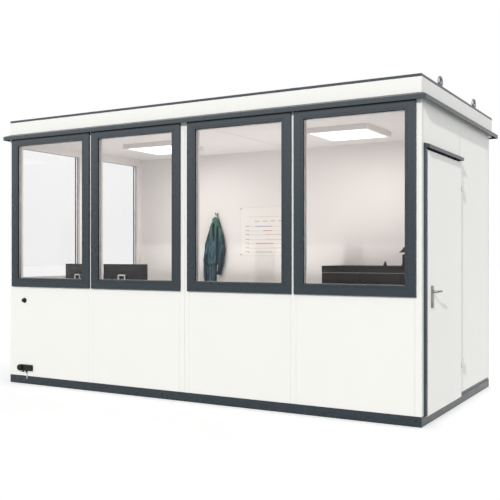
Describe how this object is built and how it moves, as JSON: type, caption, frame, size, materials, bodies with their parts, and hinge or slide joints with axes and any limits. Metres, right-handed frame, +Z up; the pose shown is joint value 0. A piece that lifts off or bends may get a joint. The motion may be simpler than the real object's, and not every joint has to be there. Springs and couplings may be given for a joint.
{
  "type": "office container",
  "caption": "Steel-framed site office cabin with white panel walls, dark window frames, a drip band under the flat roof and one hinged door in the end wall.",
  "frame": {"origin": "on the ground at the centre of the wall footprint, on the underside of the middle cross member", "axes": "+X along the long side towards the door end, -Y to the four-window front, +Z up"},
  "size_m": [4.218, 2.256, 2.6261],
  "materials": {
    "white_panel": "satin powder coat",
    "anthracite": "satin powder coat",
    "clear_glass": "clear",
    "floor_vinyl": "matt",
    "roof_sheet": "matt",
    "steel_fittings": "satin",
    "black_plastic": "matt",
    "light_diffuser": "opal",
    "desk_laminate": "laminate",
    "dark_furniture": "matt laminate",
    "coat_fabric": "woven",
    "planner_board": "gloss",
    "earth_braid": "tinned braid"
  },
  "bodies": {
    "cabin": {"base_frame": "anthracite", "floor_panel": "floor_vinyl", "corner_posts": "white_panel", "front_posts": "white_panel", "back_posts": "white_panel", "side_posts": "white_panel", "front_parapet_1": "white_panel", "front_parapet_2": "white_panel", "front_parapet_3": "white_panel", "front_parapet_4": "white_panel", "front_window_frame_1": "anthracite", "front_window_frame_2": "anthracite", "front_window_frame_3": "anthracite", "front_window_frame_4": "anthracite", "front_glazing": "clear_glass", "left_parapet_1": "white_panel", "left_parapet_2": "white_panel", "left_window_frame_1": "anthracite", "left_window_frame_2": "anthracite", "left_glazing": "clear_glass", "back_panel_1": "white_panel", "back_panel_2": "white_panel", "back_panel_3": "white_panel", "back_panel_4": "white_panel", "right_panel": "white_panel", "right_lintel_panel": "white_panel", "door_frame": "anthracite", "door_drip_cap": "anthracite", "hinge_lugs": "steel_fittings", "roof_beams": "white_panel", "rear_soffit": "white_panel", "ceiling_panel": "white_panel", "roof_deck": "roof_sheet", "fascia": "white_panel", "roof_cap": "anthracite", "drip_band": "anthracite", "lifting_eyes": "steel_fittings", "ceiling_lights": "light_diffuser", "desk": "desk_laminate", "monitors": "black_plastic", "cabinet": "dark_furniture", "table_lamp": "black_plastic", "paperweight": "black_plastic", "wall_planner": "planner_board", "coat_hook": "steel_fittings", "coat": "coat_fabric", "power_inlet": "black_plastic", "cable_gland": "black_plastic", "earth_strap": "earth_braid"},
    "door": {"door_leaf": "white_panel", "door_plates": "steel_fittings", "hinge_wings": "steel_fittings"},
    "handle": {"door_lever": "steel_fittings"}
  },
  "joints": [
    {"name": "door_swing", "type": "hinge", "parent": "cabin", "child": "door", "pos_m": [2.078, -0.021, 0.347], "axis": [0, 0, 1], "range_deg": [0, 165]},
    {"name": "lever_turn", "type": "hinge", "parent": "door", "child": "handle", "pos_m": [2.078, -0.845, 0.966], "axis": [-1, 0, 0], "range_deg": [0, 40], "stiffness_Nm_per_rad": 1, "springref_deg": -28.65}
  ]
}
